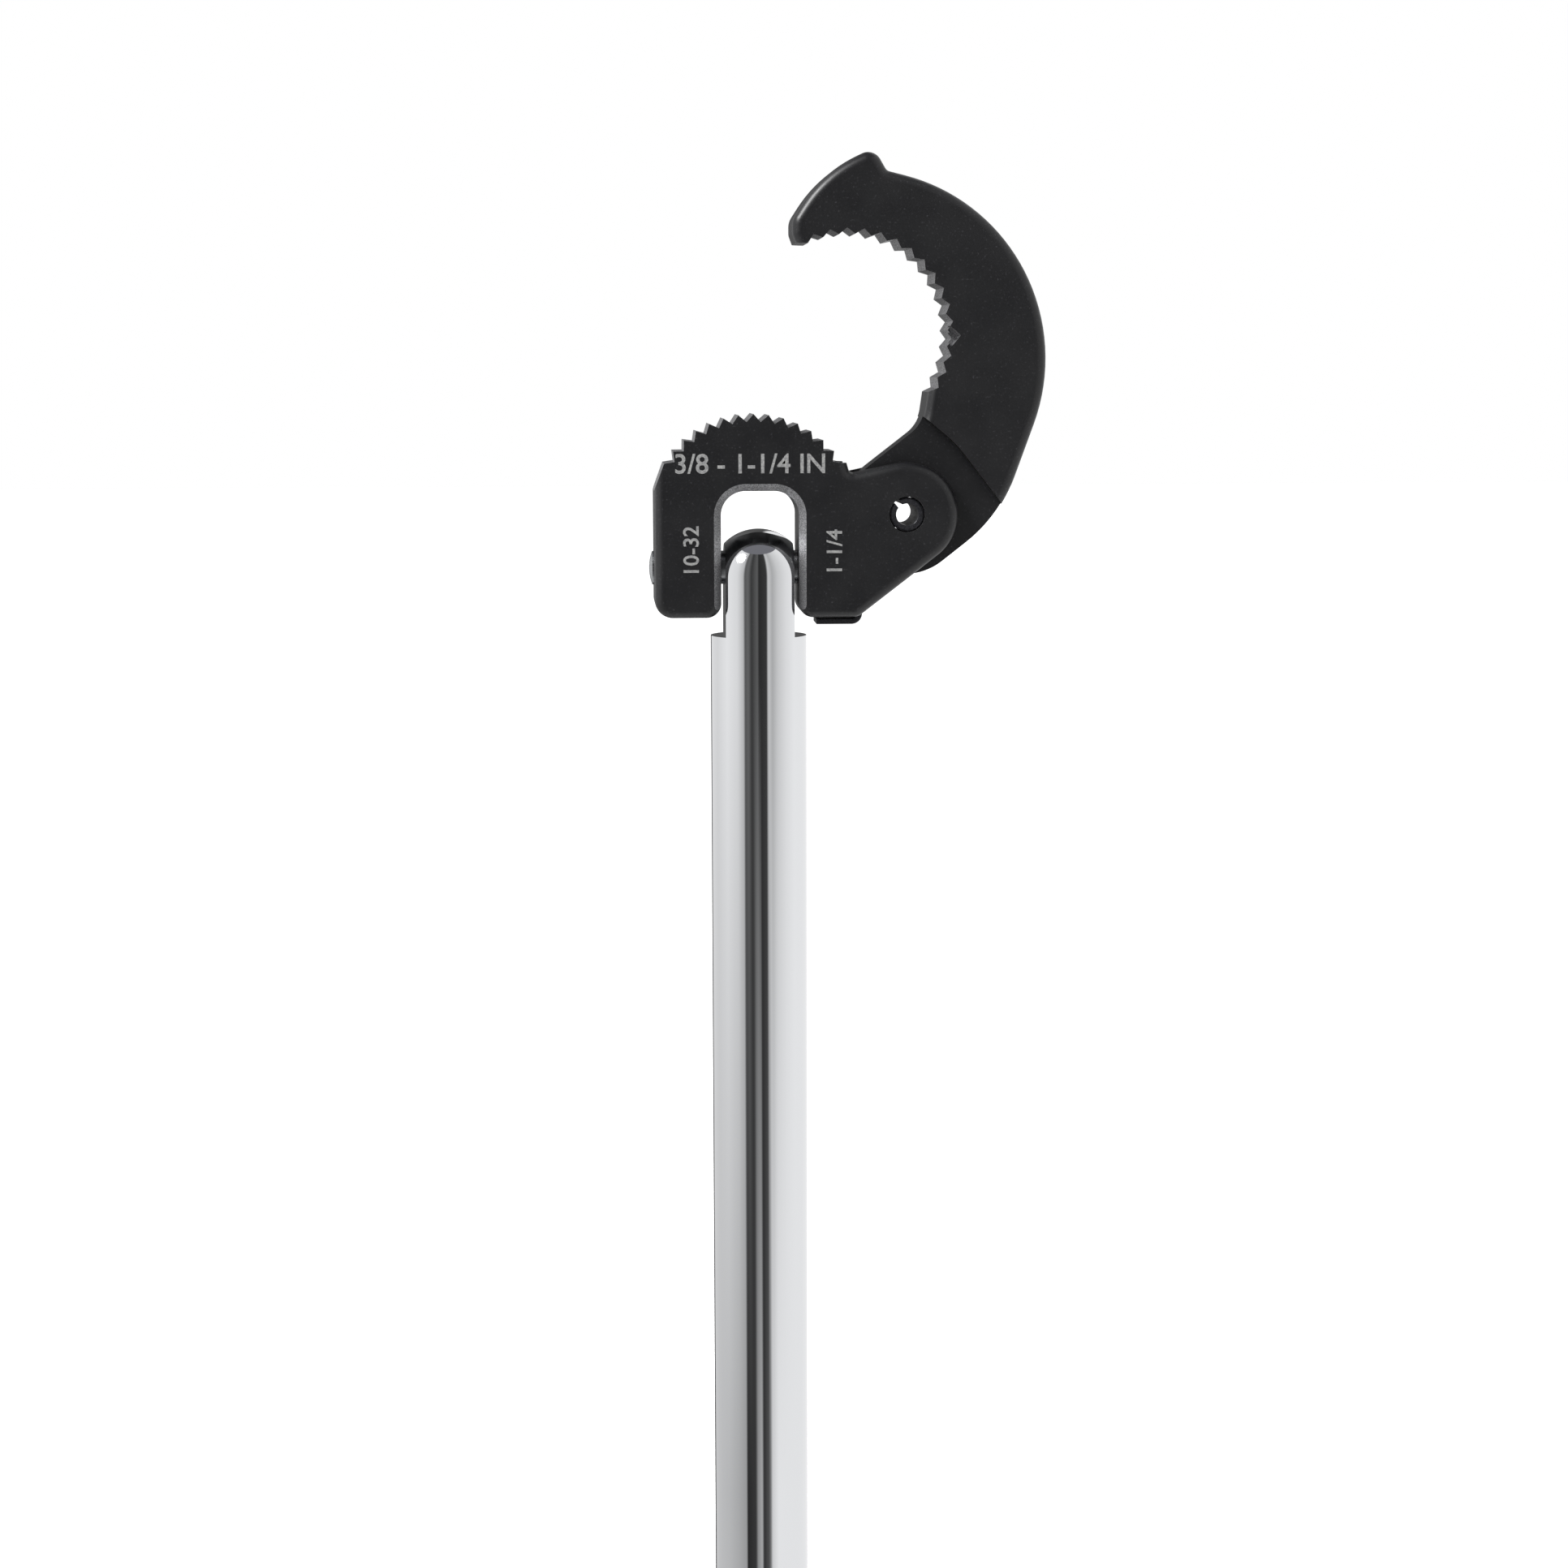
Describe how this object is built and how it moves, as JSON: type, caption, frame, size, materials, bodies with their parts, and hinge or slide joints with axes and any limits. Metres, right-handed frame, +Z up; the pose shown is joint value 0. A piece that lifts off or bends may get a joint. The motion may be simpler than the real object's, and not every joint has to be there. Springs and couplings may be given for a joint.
{
  "type": "telescoping basin wrench",
  "caption": "Telescoping basin wrench: forged hook jaw pivoting on a swivelling toothed head, on a chromed shaft that slides over a square bar, turned by a sliding cross handle.",
  "frame": {"origin": "centre of the flat foot of the handle hub", "axes": "+Z up the shaft towards the head, +X towards the hook side of the head, +Y away from the marked face of the head"},
  "size_m": [0.1586, 0.024, 0.2816],
  "materials": {
    "black_forging": "black phosphated forging, satin",
    "chrome_plate": "polished chrome plate",
    "polished_ball": "polished",
    "bright_pin": "bright drawn",
    "black_spring_steel": "black oxide, satin",
    "satin_steel": "turned and plated, satin",
    "zinc_plate": "bright zinc plate",
    "spring_wire": "bright drawn",
    "black_screw": "black oxide",
    "bronze": "turned"
  },
  "bodies": {
    "hub_and_bar": {"handle_hub": "satin_steel", "inner_bar": "zinc_plate", "hub_pin": "bright_pin", "guide_bush": "bronze", "guide_screw": "black_screw", "handle_catch_ball": "polished_ball", "handle_catch_spring": "spring_wire", "handle_catch_screw": "black_screw"},
    "cross_handle": {"handle_bar": "chrome_plate", "handle_cap_left": "chrome_plate", "handle_cap_right": "chrome_plate"},
    "shaft": {"outer_shaft": "chrome_plate", "end_collar": "satin_steel", "collar_screw_left": "black_screw", "collar_screw_right": "black_screw", "lock_ball": "polished_ball", "lock_spring": "spring_wire", "lock_screw": "black_screw"},
    "head": {"head_body": "black_forging", "jaw_pin": "black_spring_steel", "leaf_spring": "black_spring_steel", "swivel_pin": "bright_pin"},
    "hook": {"hook_jaw": "black_forging"}
  },
  "joints": [
    {"name": "handle_slide", "type": "slide", "parent": "hub_and_bar", "child": "cross_handle", "axis": [1, 0, 0], "range_m": [-0.0569, 0.0569]},
    {"name": "shaft_slide", "type": "slide", "parent": "hub_and_bar", "child": "shaft", "axis": [0, 0, 1], "range_m": [0, 0.127]},
    {"name": "head_swivel", "type": "hinge", "parent": "shaft", "child": "head", "pos_m": [0, 0, 0.21454], "axis": [1, 0, 0], "range_deg": [-90, 90]},
    {"name": "hook_pivot", "type": "hinge", "parent": "head", "child": "hook", "pos_m": [0.02405, 0, 0.22334], "axis": [0, -1, 0], "range_deg": [-115, 52]}
  ]
}
